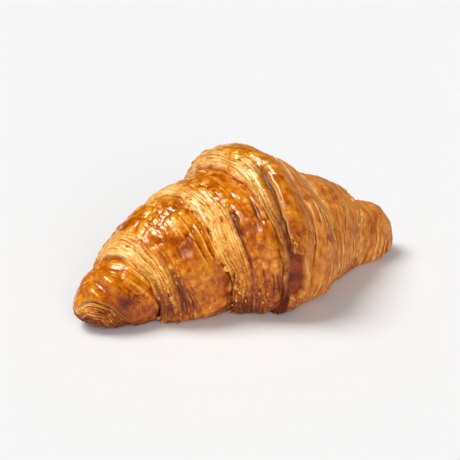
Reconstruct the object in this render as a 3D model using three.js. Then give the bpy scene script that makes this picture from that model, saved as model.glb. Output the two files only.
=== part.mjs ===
// A butter croissant: one triangle of laminated dough, rolled up from its base to its point and baked.
// Millimetres, Z up. X runs from the near tip to the far tip, the front faces -Y, and the origin is
// the middle of the flat base. Every ring of the surface is a rounded section across the roll, and the
// wraps of dough between the cut edges are swells of that section, each standing over its neighbour.

import * as THREE from 'three';

// Driving dimensions
const NEAR_END_X = -74.2;
const FAR_END_X = 74.2;
const NEAR_DOME = 15;
const FAR_DOME = 14;
const DOME_POWER = 2.2;
const TIP_CENTRE = 0.47;
const BOW = 0.8;

// How a section rounds: the upper and the lower superellipse, and where its widest line lies
const TOP_POWER = 2;
const UNDER_POWER = 2.9;
const WIDEST_AT = 0.44;
const UNDER_BULGE = 1.12;

// The size of the roll at each end of it and in the crease at each cut edge. A cut edge starts at the
// front foot, climbs over the roll to the back foot, and drifts by its slant towards its own tip.
const NEAR_TIP = { halfWidth: 10, height: 17.5 };
const FAR_TIP = { halfWidth: 10, height: 20 };
const CUT_EDGES = [
  { x: -47.2, slant: -21.5, halfWidth: 12.5, height: 25.5 },
  { x: -21.8, slant: -24, halfWidth: 22.5, height: 44.5 },
  { x: -4.3, slant: -7, halfWidth: 35.5, height: 50 },
  { x: 9.3, slant: 13.5, halfWidth: 37, height: 53 },
  { x: 24.7, slant: 9.5, halfWidth: 28.5, height: 41.5 },
  { x: 49.2, slant: 16, halfWidth: 12.8, height: 25 },
];
const FRONT_FOOT_DEG = 30;
const BACK_FOOT_DEG = 300;
const EDGE_PIVOT = 0.25;

// A cut edge wavers by two waves round the roll, shifted from one edge to the next
const EDGE_WAVES = [
  { height: 0.7, count: 3, shift: 2.1 },
  { height: 0.42, count: 7, shift: 4.7 },
];

// The wraps from the near tip to the far tip: how far each swells out of the ramp between its creases,
// and which side its own cut edge is on, -1 towards the near tip, 1 towards the far tip
const WRAPS = [
  { side: 0, swellWidth: 0.6, swellHeight: 0, rows: 13 },
  { side: -1, swellWidth: 5.6, swellHeight: 3, rows: 15 },
  { side: -1, swellWidth: 2.6, swellHeight: 1.8, rows: 15 },
  { side: -1, swellWidth: 5, swellHeight: 7.6, rows: 17 },
  { side: 1, swellWidth: 3.6, swellHeight: 2, rows: 13 },
  { side: 1, swellWidth: 1.8, swellHeight: 4.6, rows: 15 },
  { side: 0, swellWidth: 0.6, swellHeight: 0, rows: 12 },
];
const NEAR_TIP_WRAP = 0;
const NEAR_OUTER_WRAP = 1;
const NEAR_INNER_WRAP = 2;
const MIDDLE_WRAP = 3;
const FAR_TIP_WRAP = 6;
const TIP_SWELL_POWER = 3;
const SWELL_POWER = 2.4;
const NEAR_LIP_LEAN = 0.62;
const FAR_LIP_LEAN = 0.78;

// The lamination that shows along a cut edge: a lip, and ridges behind it that follow the edge
const LIP_FRACTION = 0.03;
const LIP_HEIGHT = 0.9;
const LIP_FADE = [0.02, 0.2];
const CREASE_DEPTH = 0.9;
const BAND_FRACTION = 0.36;
const BAND_ROWS = 8;
const RIDGE_HEIGHT = 0.42;
const RIDGE_LOWEST = 0.2;
const RIDGE_WAVE_DEG = 70;
const RIDGE_SHIFT = 1.7;

// Blisters in the skin
const BLISTERS = 34;
const BLISTER_X = [-66, 66];
const BLISTER_DEGREES = [60, 300];
const BLISTER_RADIUS = [5, 9];
const BLISTER_HEIGHT = [0.7, 1.7];

// Long soft lumps of the proofed dough: one wave along the roll, and two round it that drift along it
const LONG_LUMP = { height: 0.36, length: 57, bend: 2.3, shift: 1 };
const ROUND_LUMPS = [
  { height: 0.24, count: 3, length: 94, shift: 0 },
  { height: 0.17, count: 5, length: -75, shift: 2 },
];

// The relief fades out towards the base, which took the tray's shape
const RELIEF_STARTS_DEG = 28;
const RELIEF_FULL_DEG = 62;
const UNDER_RELIEF = 0.25;

// Folds pressed into the skin and the flap that is torn out of the middle wrap, each placed by the
// wrap that it lies in, the fraction of that wrap from its near side, and the angle up from the base
const DENTS = [
  { wrap: MIDDLE_WRAP, at: 0.22, span: 0.09, angle: 112, reach: 48, depth: 1.5 },
  { wrap: MIDDLE_WRAP, at: 0.5, span: 0.26, angle: 89, reach: 15, depth: 2.6 },
  { wrap: MIDDLE_WRAP, at: 0.36, span: 0.1, angle: 128, reach: 24, depth: -1.3 },
  { wrap: NEAR_INNER_WRAP, at: 0.58, span: 0.12, angle: 138, reach: 22, depth: 1.3 },
  { wrap: NEAR_OUTER_WRAP, at: 0.56, span: 0.14, angle: 92, reach: 26, depth: 1.1 },
];
const DENT_SLOPE = 0.6;

// The cut end of the dough at the near tip, where the outer skin stops along a slanting edge
const CUT_END_DEG = 165;
const CUT_END_DEG_PER_MM = 6;
const CUT_END_STEP = 1.3;
const CUT_END_STEP_DEG = 8;
const CUT_END_LAYER_DEG = 24;
const CUT_END_LAYER_HEIGHT = 0.22;
const CUT_END_FADE_DEG = 70;

// Mesh density
const BASE_COLUMNS = 7;
const SIDE_COLUMNS = 45;
const BASE_HALF_ANGLE = 36;
const TIP_ROW_CROWDING = 1.6;

// How a whole number is turned into a repeatable fraction, with room for this many of one kind
const SCATTER = { stride: 12.9898, start: 4.1414, scale: 43758.5453, most: 100 };

const CRUST = new THREE.MeshStandardMaterial({ color: 0xb96a24, roughness: 0.45, metalness: 0 });

// A repeatable number from 0 to 1 for each place in a list and each quality drawn for it
function scatter(index, quality) {
  const number = index + quality * SCATTER.most;
  const wave = Math.sin(number * SCATTER.stride + SCATTER.start) * SCATTER.scale;
  return wave - Math.floor(wave);
}

// A sine wave of a length, at a place
function wave(place, length, shift) {
  return Math.sin((2 * Math.PI * place) / length + shift);
}

function between([low, high], fraction) {
  return low + (high - low) * fraction;
}

function smoothstep(low, high, value) {
  const fraction = THREE.MathUtils.clamp((value - low) / (high - low), 0, 1);
  return fraction * fraction * (3 - 2 * fraction);
}

// How far round the roll an angle is, from 0 at the front foot to 1 at the back foot, and back beneath
function sweep(degrees) {
  const turn = (degrees - FRONT_FOOT_DEG + 360) % 360;
  const climb = BACK_FOOT_DEG - FRONT_FOOT_DEG;
  return turn < climb ? turn / climb : (360 - turn) / (360 - climb);
}

// Where boundary number `index` runs at an angle: the near end, the six cut edges, then the far end
function boundaryX(index, degrees) {
  if (index === 0) return NEAR_END_X;
  if (index > CUT_EDGES.length) return FAR_END_X;
  const edge = CUT_EDGES[index - 1];
  let x = edge.x + edge.slant * (sweep(degrees) - EDGE_PIVOT);
  for (const { height, count, shift } of EDGE_WAVES) x += height * wave(degrees, 360 / count, index * shift);
  return x;
}

// The share of a wrap's swell at a fraction of its width: steep at its cut edge, then gently down
function swellShare(wrapIndex, fraction) {
  if (wrapIndex === NEAR_TIP_WRAP) return 1 - fraction ** TIP_SWELL_POWER;
  if (wrapIndex === FAR_TIP_WRAP) return 1 - (1 - fraction) ** TIP_SWELL_POWER;
  const onFarSide = WRAPS[wrapIndex].side > 0;
  const fromLip = onFarSide ? 1 - fraction : fraction;
  const lean = onFarSide ? FAR_LIP_LEAN : NEAR_LIP_LEAN;
  return 1 - Math.abs(2 * fromLip ** lean - 1) ** SWELL_POWER;
}

// The half-width and height of the roll at a fraction of a wrap
function wrapSize(wrapIndex, fraction) {
  const creases = [NEAR_TIP, ...CUT_EDGES, FAR_TIP];
  const near = creases[wrapIndex];
  const far = creases[wrapIndex + 1];
  const wrap = WRAPS[wrapIndex];
  const share = swellShare(wrapIndex, fraction);
  return {
    halfWidth: THREE.MathUtils.lerp(near.halfWidth, far.halfWidth, fraction) + wrap.swellWidth * share,
    height: THREE.MathUtils.lerp(near.height, far.height, fraction) + wrap.swellHeight * share,
  };
}

// The rounding of the two ends: 0 at the very end, 1 where the dome meets the roll
function dome(x) {
  const near = THREE.MathUtils.clamp((x - NEAR_END_X) / NEAR_DOME, 0, 1);
  const far = THREE.MathUtils.clamp((FAR_END_X - x) / FAR_DOME, 0, 1);
  return Math.sqrt((1 - (1 - near) ** DOME_POWER) * (1 - (1 - far) ** DOME_POWER));
}

// The lip and the ridges along a wrap's own cut edge. The ridges turn up and down with the mesh rows.
function lamination(wrapIndex, fraction, row, degrees) {
  const { side } = WRAPS[wrapIndex];
  if (side === 0) return 0;
  const fromLip = side > 0 ? 1 - fraction : fraction;
  const crease = -CREASE_DEPTH * (1 - smoothstep(0, LIP_FRACTION, fromLip));
  const lip = LIP_HEIGHT * smoothstep(0, LIP_FRACTION, fromLip) * (1 - smoothstep(...LIP_FADE, fromLip));
  const inBand = fromLip > LIP_FRACTION && fromLip < BAND_FRACTION;
  const broken = between([RIDGE_LOWEST, 1], (1 + wave(degrees, RIDGE_WAVE_DEG, row * RIDGE_SHIFT)) / 2);
  const ridge = inBand ? RIDGE_HEIGHT * broken * (row % 2 === 0 ? 1 : -1) : 0;
  return crease + lip + ridge;
}

// The smooth skin's blisters, as low round domes at scattered places
function blistering(x, degrees, radius) {
  let height = 0;
  for (let index = 0; index < BLISTERS; index += 1) {
    const along = x - between(BLISTER_X, scatter(index, 0));
    const turn = degrees - between(BLISTER_DEGREES, scatter(index, 1));
    const reach = between(BLISTER_RADIUS, scatter(index, 2));
    const distance = Math.hypot(along, THREE.MathUtils.degToRad(turn) * radius) / reach;
    const full = between(BLISTER_HEIGHT, scatter(index, 3));
    if (distance < 1) height += full * (1 - distance ** 2) ** 2;
  }
  return height;
}

function lumps(x, degrees) {
  const bend = LONG_LUMP.bend * wave(degrees, 360, 0);
  let height = LONG_LUMP.height * wave(x, LONG_LUMP.length, bend + LONG_LUMP.shift);
  for (const lump of ROUND_LUMPS) {
    const drift = (2 * Math.PI * x) / lump.length;
    height += lump.height * wave(degrees, 360 / lump.count, drift + lump.shift);
  }
  return height;
}

function dents(wrapIndex, fraction, degrees) {
  let depth = 0;
  for (const dent of DENTS) {
    const along = (fraction - dent.at) / dent.span;
    const round = (degrees - dent.angle) / dent.reach;
    const inside = 1 - along ** 4 - round ** 4;
    if (dent.wrap === wrapIndex) depth += dent.depth * smoothstep(0, DENT_SLOPE, inside);
  }
  return depth;
}

// The layers that show at the near tip's cut end, below the edge of the outer skin
function cutEnd(wrapIndex, x, degrees) {
  if (wrapIndex !== NEAR_TIP_WRAP) return 0;
  const below = CUT_END_DEG - CUT_END_DEG_PER_MM * (x - NEAR_END_X) - degrees;
  const fading = smoothstep(CUT_END_FADE_DEG, 2 * CUT_END_FADE_DEG, below);
  const layers = CUT_END_LAYER_HEIGHT * wave(below, CUT_END_LAYER_DEG, Math.PI / 2);
  return smoothstep(0, CUT_END_STEP_DEG, below) * (1 - fading) * (layers - CUT_END_STEP);
}

// How much of the relief is left at an angle
function reliefShare(degrees) {
  const fromBase = Math.min(degrees, 360 - degrees);
  return THREE.MathUtils.lerp(UNDER_RELIEF, 1, smoothstep(RELIEF_STARTS_DEG, RELIEF_FULL_DEG, fromBase));
}

// One point of the crust
function crustPoint(wrapIndex, fraction, row, degrees) {
  const nearX = boundaryX(wrapIndex, degrees);
  const farX = boundaryX(wrapIndex + 1, degrees);
  const x = THREE.MathUtils.lerp(nearX, farX, fraction);
  const angle = THREE.MathUtils.degToRad(degrees);
  const size = wrapSize(wrapIndex, fraction);
  const rounding = dome(x);
  const halfWidth = size.halfWidth * rounding;
  const height = size.height * rounding;
  const centre = height * WIDEST_AT;
  const out = -Math.sin(angle);
  const up = -Math.cos(angle);
  const power = up > 0 ? TOP_POWER : UNDER_POWER;
  const reach = up > 0 ? height - centre : centre * UNDER_BULGE;
  const plain = (Math.abs(out / halfWidth) ** power + Math.abs(up / reach) ** power) ** (-1 / power);
  const relief =
    lamination(wrapIndex, fraction, row, degrees) +
    blistering(x, degrees, plain) +
    lumps(x, degrees) -
    dents(wrapIndex, fraction, degrees) +
    cutEnd(wrapIndex, x, degrees);
  const radius = plain + relief * rounding * reliefShare(degrees);
  const lift = size.height * (1 - rounding) * TIP_CENTRE;
  return new THREE.Vector3(
    x,
    out * radius + BOW * (x / FAR_END_X) ** 2,
    Math.max(centre + up * radius, 0) + lift,
  );
}

// The angles of the mesh columns: few across the flat base, the rest up and over the sides
function columnAngles() {
  const angles = [];
  for (let index = 0; index < BASE_COLUMNS; index += 1) {
    angles.push(between([-BASE_HALF_ANGLE, BASE_HALF_ANGLE], index / BASE_COLUMNS));
  }
  for (let index = 0; index < SIDE_COLUMNS; index += 1) {
    angles.push(between([BASE_HALF_ANGLE, 360 - BASE_HALF_ANGLE], index / SIDE_COLUMNS));
  }
  return angles.map((degrees) => (degrees + 360) % 360);
}

// The fractions of the mesh rows in a wrap: crowded at an end's dome or in the band behind a cut edge
function rowFractions(wrapIndex) {
  const { side, rows } = WRAPS[wrapIndex];
  const fractions = [];
  for (let row = 0; row < rows; row += 1) {
    if (side === 0) {
      fractions.push(((row + 1) / (rows + 1)) ** TIP_ROW_CROWDING);
    } else if (row < BAND_ROWS) {
      fractions.push(row === 0 ? 0 : between([LIP_FRACTION, BAND_FRACTION], (row - 1) / (BAND_ROWS - 1)));
    } else {
      fractions.push(between([BAND_FRACTION, 1], (row - BAND_ROWS + 1) / (rows - BAND_ROWS + 1)));
    }
  }
  const mirrored = side > 0 || wrapIndex === FAR_TIP_WRAP;
  return mirrored ? fractions.map((fraction) => 1 - fraction).reverse() : fractions;
}

function crustRings() {
  const angles = columnAngles();
  const rings = [];
  WRAPS.forEach((wrap, wrapIndex) => {
    rowFractions(wrapIndex).forEach((fraction, row) => {
      rings.push(angles.map((degrees) => crustPoint(wrapIndex, fraction, row, degrees)));
    });
  });
  return rings;
}

// The middle of the dome at one end of the roll
function endPoint(x, tip) {
  return new THREE.Vector3(x, BOW, tip.height * TIP_CENTRE);
}

// A closed skin over the rings, with a fan of triangles at each end, centred over the origin
function closedSkin(rings, nearEnd, farEnd) {
  const columns = rings[0].length;
  const points = [...rings.flat(), nearEnd, farEnd];
  const nearIndex = points.length - 2;
  const farIndex = points.length - 1;
  const triangles = [];
  for (let column = 0; column < columns; column += 1) {
    const next = (column + 1) % columns;
    const last = (rings.length - 1) * columns;
    triangles.push(nearIndex, column, next);
    triangles.push(farIndex, last + next, last + column);
    for (let ring = 0; ring < rings.length - 1; ring += 1) {
      const here = ring * columns;
      const beyond = here + columns;
      triangles.push(here + column, beyond + column, beyond + next);
      triangles.push(here + column, beyond + next, here + next);
    }
  }
  const geometry = new THREE.BufferGeometry().setFromPoints(points);
  geometry.setIndex(triangles);
  geometry.computeBoundingBox();
  const middle = geometry.boundingBox.getCenter(new THREE.Vector3());
  geometry.translate(-middle.x, -middle.y, 0);
  geometry.computeVertexNormals();
  return geometry;
}

function makeCroissant() {
  const nearEnd = endPoint(NEAR_END_X, NEAR_TIP);
  const farEnd = endPoint(FAR_END_X, FAR_TIP);
  const croissant = new THREE.Mesh(closedSkin(crustRings(), nearEnd, farEnd), CRUST);
  croissant.name = 'croissant';
  return croissant;
}

const part = new THREE.Group();
part.add(makeCroissant());

export default part;
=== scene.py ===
"""A butter croissant in a plain pale studio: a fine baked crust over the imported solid.

Sizes are millimetres until a mesh is made. The crust is a grid of rings across the roll. Each ring lies
in one wrap of dough at a fraction of its width, and each point on it has an angle up from the base: 0
beneath, 90 at the front, 180 on top and 270 at the back. Each wrap's rings become a mesh of their own.
"""

import math
from itertools import product
from types import SimpleNamespace

import bpy
import numpy as np
from mathutils import Euler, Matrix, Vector


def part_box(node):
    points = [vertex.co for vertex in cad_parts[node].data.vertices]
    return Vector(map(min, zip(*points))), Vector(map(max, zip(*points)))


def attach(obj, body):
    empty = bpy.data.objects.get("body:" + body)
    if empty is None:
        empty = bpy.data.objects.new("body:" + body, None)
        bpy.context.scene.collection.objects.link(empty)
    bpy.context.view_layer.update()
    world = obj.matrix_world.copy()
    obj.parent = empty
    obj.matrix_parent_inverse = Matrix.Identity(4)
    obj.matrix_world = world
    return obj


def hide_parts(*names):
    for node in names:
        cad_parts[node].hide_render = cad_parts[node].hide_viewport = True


MM = 0.001

# The roll, as the solid has it
NEAR_END_X = -74.2
FAR_END_X = 74.2
NEAR_DOME = 15.0
FAR_DOME = 14.0
DOME_POWER = 2.2
TIP_CENTRE = 0.47
BOW = 0.8
TOP_POWER = 2.0
UNDER_POWER = 2.9
WIDEST_AT = 0.44
UNDER_BULGE = 1.12

# The near end, the six creases at the cut edges, and the far end
CREASE_HALF_WIDTHS = np.array([10.0, 12.5, 22.5, 35.5, 37.0, 28.5, 12.8, 10.0])
CREASE_HEIGHTS = np.array([17.5, 25.5, 44.5, 50.0, 53.0, 41.5, 25.0, 20.0])
EDGE_X = np.array([-47.2, -21.8, -4.3, 9.3, 24.7, 49.2])
EDGE_SLANTS = np.array([-21.5, -24.0, -7.0, 13.5, 9.5, 16.0])
FRONT_FOOT_DEG = 30
BACK_FOOT_DEG = 300
EDGE_PIVOT = 0.25
EDGE_WAVES = [(0.7, 3, 2.1), (0.42, 7, 4.7)]

# The seven wraps from the near tip to the far tip. A wrap's side says where its own cut edge is.
WRAPS = range(7)
NEAR_TIP, NEAR_OUTER, NEAR_INNER, MIDDLE, FAR_INNER, FAR_OUTER, FAR_TIP = WRAPS
WRAP_NAMES = ["near_tip", "near_outer", "near_inner", "middle", "far_inner", "far_outer", "far_tip"]
WRAP_SIDES = np.array([0, -1, -1, -1, 1, 1, 0])
SWELL_WIDTHS = np.array([0.6, 5.6, 2.6, 5.0, 3.6, 1.8, 0.6])
SWELL_HEIGHTS = np.array([0.0, 3.0, 1.8, 7.6, 2.0, 4.6, 0.0])
SWELL_POWER = 2.4
TIP_SWELL_POWER = 3
NEAR_LIP_LEAN = 0.62
FAR_LIP_LEAN = 0.78

# The mesh: the rings in each wrap and its first one, how they crowd at a tip's dome and in a band, then the
# columns, which are few across the flat base
WRAP_ROWS = [110, 140, 130, 150, 90, 110, 70]
FIRST_ROWS = np.cumsum([0] + WRAP_ROWS)
ROW_CROWDING = 1.5
BAND_CROWDING = 0.38
BASE_COLUMNS = 32
SIDE_COLUMNS = 368
BASE_HALF_ANGLE = 36

# The laminated edge: how wide it shows on each wrap and how much wider at its foot, how its border fades
# and wanders, and how its layers wander
BAND_MM = np.array([14.0, 10.5, 8.4, 8.0, 3.5, 4.0, 0.0])
BAND_FOOT_SHARE = 1.4
BAND_FADE_MM = (-2.5, 5.0)
BAND_RAGGED_MM = 3.4
LAYER_PITCH = 1.3
LAYER_WANDER = 2.2
LAYER_JITTER = 1.0
LAYER_CRUMBLE = 0.28

# Heights on the laminated edge: its terraces, fibres along and across them, lumps where it is smooth and
# where it is pebbly, and grooves. All are lower at the foot, which is pressed.
TERRACE_HEIGHT = 0.5
TERRACE_FALL = 1.6
FIBRE_HEIGHT = 0.09
SLANTED_FIBRE_HEIGHT = 0.078
FIBRE_SLANT = 0.35
PEBBLE_HEIGHTS = (0.105, 0.255)
GROOVE_DEPTH = 0.38
PRESSED_SHARE = 0.6

# The share of its height at which a layer stands, in the mean and at most, how pebbly the top is, how much
# of its terraces and grooves a pebbly place loses, and how strongly shallow and deep grooves are coloured
PROUD_MEAN = 0.62
PROUD_MOST = 1.5
PEBBLY_TOP = 0.6
PEBBLY_UNEVENNESS = 0.6
PEBBLY_TERRACE_LOSS = 0.5
PEBBLY_GROOVE_LOSS = 0.6
SHALLOW_GROOVE = 0.7
DEEP_GROOVE = 1.5

# The lip at a cut edge, how far it leans over its neighbour and how unevenly it curls, the groove in the
# crease beside it, and how far the crease's red reaches into each of the two wraps
LIP_HEIGHT = 0.5
LIP_MM = 3.0
LIP_AT_MM = 1.8
OVERHANG = 0.8
OVERHANG_MM = 0.7
CURL_MEAN = 0.5
CURL_MOST = 1.3
CURL_UNEVENNESS = 0.7
CREASE_DEPTH = 0.9
CREASE_MM = 0.8
CREASE_MEAN = 0.75
CREASE_UNEVENNESS = 0.45
COVERED_SHARE = 1.6
FAR_LIP_SHARE = 0.6
OWN_RED_MM = 0.5
COVERED_RED_MM = 1.1

# The relief is low on the foot and whole above it
FOOT_RELIEF = 0.25
FOOT_DEG = (28, 62)

# Blisters of three sizes: the cell that each has to itself, its height, the share of cells with one, and
# the seed
LARGE_BLISTERS = (9.0, 1.2, 0.5, 41)
MIDDLING_BLISTERS = (4.0, 1.0, 0.65, 61)
SMALL_BLISTERS = (2.4, 0.45, 0.6, 81)
BLISTER_REACH = (0.3, 0.8)
BLISTER_ROUNDNESS = 0.75

# The rest of the skin, and how much lower its relief is where it is dry or smooth
WRINKLE_HEIGHT = 0.32
CRACK_SHARPNESS = (8, 10)
CRACK_DEPTH = 0.42
DRY_LOSS = 0.5
SMOOTH_BLISTER_LOSS = 0.7
SMOOTH_WRINKLE_LOSS = 0.75

# Long soft lumps of the proofed dough: a wave along the roll by its height, drift, bend and shift, then
# waves round it that drift along it, each by its height, its count round the roll, its drift and its shift
LONG_LUMP = (0.36, 9, 2.3, 1)
ROUND_LUMPS = [(0.24, 3, 15, 0), (0.168, 5, -12, 2)]

# The thin edges of the skin's own layers, on the far wraps and beside the creases. Two lines run along an
# edge, a pale one and a fainter one of painted shade at the foot of its step: where each lies across a
# layer, and how wide it is.
SHEET_PITCH = 3.0
SHEET_STEP = 0.45
SHEET_WANDER = 1.6
PALE_LINE = (0.16, 0.08)
SHADE_LINE = (0.0, 0.07)
SHADE_LINE_SHARE = 0.7
FAR_EDGE_MM = (0.7, 0.4)
FAR_EDGE_PALENESS = 0.9

# The skin of the middle wrap is torn along a crease behind its band. It runs between two angles and two
# fractions of the wrap. A span of four angles fades in between the first two and out between the others.
TEAR_DEG = (80, 165)
TEAR_FRACTION = (0.15, 0.41)
TEAR_BEND = 1.3
TEAR_RAGGED_MM = 0.5
TEAR_SPAN_DEG = (52, 66, 150, 172)
TEAR_MM = 2.0
TEAR_DEPTH = 2.6

# The flap beyond the crease, and the slanting oval hollow that missing skin leaves below the flap
FLAP_SPAN_DEG = (101, 107, 132, 150)
FLAP_EDGE_MM = (0.7, 1.4)
FLAP_RIM_MM = (1.6, 0.5)
FLAP_HEIGHT = 1.2
FLAP_MM = 3.5
HOLLOW_DEG = 86.0
HOLLOW_REACH_DEG = 15.0
HOLLOW_SLANT_DEG = 5.0
HOLLOW_MM = 10.5
HOLLOW_DEPTH = 2.5
HOLLOW_WALL = 0.09
HOLLOW_POWERS = (2.2, 2.4)
HOLLOW_RAGGEDNESS = 0.2
HOLLOW_RIM = (-0.02, 0.045)
RIM_PALENESS = 0.8

# The cut end of the dough at the near tip, where the outer skin stops along a slanting edge
CUT_END_DEG = 165
CUT_END_DEG_PER_MM = 6
CUT_END_STEP = 1.5
CUT_END_COARSENESS = 2.0
CUT_END_WANDER = 1.4
CUT_RIM_MM = (0.0, 0.3)
CUT_RIM_PALENESS = 0.4
# A dark line of painted shade below the step, laid on as red
CUT_SHADE_LINE_MM = (1.0, 0.5)
CUT_SHADE_LINE_REDNESS = 0.8

# Folds, bubbles and browned patches in the skin of each wrap: the fraction of the wrap, the angle, the
# reach across in millimetres and round in degrees, and how much it stands up, reddens, browns and smooths
PATCHES = {
    NEAR_TIP: [
        (0.3, 150, 9, 40, 0, 0, 0, 1),
        (0.36, 150, 2.2, 44, 1.2, 0, -0.1, 0.6),
        (0.42, 105, 9, 26, 0, 0, 0.6, 0.6),
        (0.5, 150, 1.5, 36, -0.8, 0.3, 0.4, 0),
        (0.6, 74, 11, 26, 0, 0, -0.5, 1),
        (0.63, 144, 2.2, 42, 1.2, 0, 0, 0.9),
        (0.66, 110, 3.4, 12, -0.4, 0.3, 1.2, -0.8),
    ],
    NEAR_OUTER: [
        # Painted highlight: a pale streak where the glaze glints on top of the band
        (0.04, 172, 1.2, 12, 0.2, 0.1, -1.3, 0),
        (0.09, 112, 1, 26, -0.5, 0.7, 0.6, 0),
        (0.24, 88, 9, 26, 0, 0.1, 1, 0),
        (0.35, 52, 14, 16, 0, 0, -0.9, 0),
        (0.36, 165, 4.5, 10, 0.4, 0, 0.1, 1),
        (0.37, 104, 1.5, 26, -0.9, 0.8, 0.5, 0),
        (0.48, 158, 2.4, 10, 0.6, 0, 0.1, 1),
        (0.66, 131, 4.5, 11, -0.5, 0, 0.9, 0),
        (0.66, 66, 5, 9, 0.5, 0, -1.3, 0.7),
        (0.76, 97, 5.5, 22, 0.3, 0, -0.1, 1),
    ],
    NEAR_INNER: [
        (0.06, 148, 5, 24, 0, 0, -0.5, 0),
        # Painted highlight: a pale streak where the glaze glints on top of the band
        (0.08, 160, 2.4, 9, 0.2, 0.1, -1.4, 0),
        (0.46, 106, 0.7, 17, -0.7, 0.8, 0.5, 0),
        (0.48, 130, 1.2, 14, -1.1, 1.3, 0, 0),
        (0.62, 150, 6, 15, 0, 0, -0.1, -1),
        (0.68, 72, 3.4, 9, 0.2, 0, -0.8, 0.4),
        (0.74, 126, 8, 17, 0, 0, 0.9, 0),
        (0.82, 84, 7, 13, 0, 0.1, 0.5, 0.3),
        (0.84, 113, 3.4, 11, 1.5, 0, -0.6, 1),
        (0.86, 137, 1, 14, -0.8, 0.9, 0, 0),
    ],
    MIDDLE: [
        (0.05, 82, 2.4, 18, -0.2, -0.25, -0.5, 0),
        (0.06, 120, 0.5, 24, -0.3, 0.6, 0.9, 0),
        (0.11, 128, 0.5, 26, -0.35, 0.7, 0.9, 0),
        (0.15, 116, 0.5, 22, -0.3, 0.6, 0.9, 0),
        # Painted highlight: a pale streak where the glaze glints on top of the band
        (0.17, 158, 2.2, 14, 0.2, 0.1, -1.3, 0),
        (0.33, 106, 3, 8, 0, 0, 0.5, 0.5),
        (0.35, 200, 11, 32, 0, 0, -0.6, 0),
        (0.48, 118, 7, 24, 0, 0, 0.6, 0.8),
    ],
    FAR_OUTER: [
        (0.3, 150, 3.5, 12, -0.5, 0.1, 0.8, 0),
        (0.62, 140, 4.5, 14, 0.4, 0, -0.3, 0.5),
    ],
    FAR_TIP: [
        (0.22, 128, 5.5, 30, 0, 0, 0.9, 0),
        (0.6, 120, 7, 40, 0, 0, -0.2, 0.8),
    ],
}
PATCH_UNEVENNESS = 0.25

# Loose flakes: the wrap, the fraction of it and the angle where they gather, how many there are, how far
# they scatter in degrees, and how long they are
FLAKE_SPOTS = [
    (NEAR_INNER, 0.7, 76, 20, 6, 1.9),
    (NEAR_INNER, 0.2, 76, 12, 5, 2.6),
    (NEAR_OUTER, 0.55, 70, 9, 5, 2.6),
    (NEAR_OUTER, 0.2, 120, 12, 7, 2.2),
    (NEAR_INNER, 0.12, 160, 8, 6, 3.2),
    (MIDDLE, 0.12, 160, 8, 7, 3),
    (MIDDLE, 0.32, 104, 12, 2.6, 1.3),
    (MIDDLE, 0.14, 66, 8, 4, 3.6),
    (FAR_INNER, 0.55, 66, 4, 3, 4.6),
    (NEAR_OUTER, 0.1, 48, 12, 5, 2.4),
    (NEAR_INNER, 0.1, 48, 12, 5, 2.4),
]
SCATTER_DEG_PER_WRAP = 60
FLAKE_LENGTH_SHARES = (0.6, 1.3)

# More flakes along every cut edge
LIP_FLAKES = 34
LIP_FLAKE_FRACTIONS = (0.02, 0.3)
LIP_FLAKE_DEG = (48, 300)
LIP_FLAKE_MM = (1.2, 3.0)

# One flake: points along it and across it, its width as a share of its length, how far its front edge
# lifts, how deep its back edge is sunk, and how far its ends curl down
FLAKE_POINTS = (7, 5)
FLAKE_WIDTH_SHARES = (0.3, 0.55)
FLAKE_RAGGEDNESS = 0.3
FLAKE_LIFTS = (0.25, 0.7)
FLAKE_SUNK = 0.35
FLAKE_CURL = 0.3
FLAKE_THICKNESS = 0.16
FLAKE_SEED = 5

# How pale the crust is, from 0 to 1. Each other tone is what one thing adds, and a pair is what it adds at
# the foot and on top. The cavity tones are painted shade in the relief's hollows and painted light on its
# ridges, and the groove and crack tones are painted shade in the grooves and cracks.
PLAIN_TONE = 0.53
CLOUD_TONE = 0.09
FLECK_TONE = 0.05
CAVITY_LIMITS = (-0.35, 0.6)
SKIN_CAVITY_SHADE = -0.75
BAND_CAVITY_SHADE = -0.6
STREAK_TONE = 0.1
BROAD_STREAKS = 0.6
SKIN_STREAKS = 0.45
SMOOTH_STREAK_LOSS = 0.7
HEIGHT_TONES = (-0.2, 0.03)
BAND_TONES = (-0.11, 0.18)
GROOVE_SHADE_TONES = (-0.05, -0.12)
MATTE_TONE = 0.04
CUT_END_TONE = -0.06
NEAR_END_TONE = -0.07
BROWN_TONE = -0.16
CRACK_SHADE_TONE = -0.26
SHEET_LINE_TONE = 0.24

# How much of the glaze's gloss each thing takes away, and the share that is left at the foot
MATTE_DULLS = 0.85
BAND_DULLS = 0.6
BROWN_DULLS = 0.5
HOLLOW_DULLS = 0.5
FOOT_GLOSS = 0.15

# Colours by tone, from deep in a crease, where painted shade darkens it, to a dry pale ridge: the glazed
# skin, the matte skin of the far wraps, and the laminated edges
GLAZED = [
    (0.10, (104, 34, 2)),
    (0.34, (164, 72, 4)),
    (0.52, (208, 114, 14)),
    (0.70, (236, 162, 46)),
    (0.92, (255, 220, 122)),
]
MATTE = [
    (0.10, (132, 54, 14)),
    (0.34, (182, 92, 22)),
    (0.52, (212, 124, 38)),
    (0.70, (230, 152, 62)),
    (0.95, (246, 196, 124)),
]
LAYERED = [
    (0.10, (102, 34, 0)),
    (0.30, (158, 74, 8)),
    (0.50, (208, 122, 32)),
    (0.66, (234, 158, 58)),
    (0.82, (247, 186, 86)),
    (1.00, (255, 224, 158)),
]

# Colours laid over the others, and how strongly: red with painted shade in the creases, painted shade in
# the hollow, the pale torn edges, and the browner underside with painted shade on it
CREASE_RED_AND_SHADE = (98, 26, 2)
CREASE_RED_AND_SHADE_STRENGTH = 0.85
HOLLOW_SHADE_DARK = (90, 24, 0)
HOLLOW_SHADE_BROWN = (142, 50, 8)
HOLLOW_SHADE_STRENGTH = 0.92
TORN_PALE = (234, 176, 98)
TORN_STRENGTH = 0.7
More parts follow.
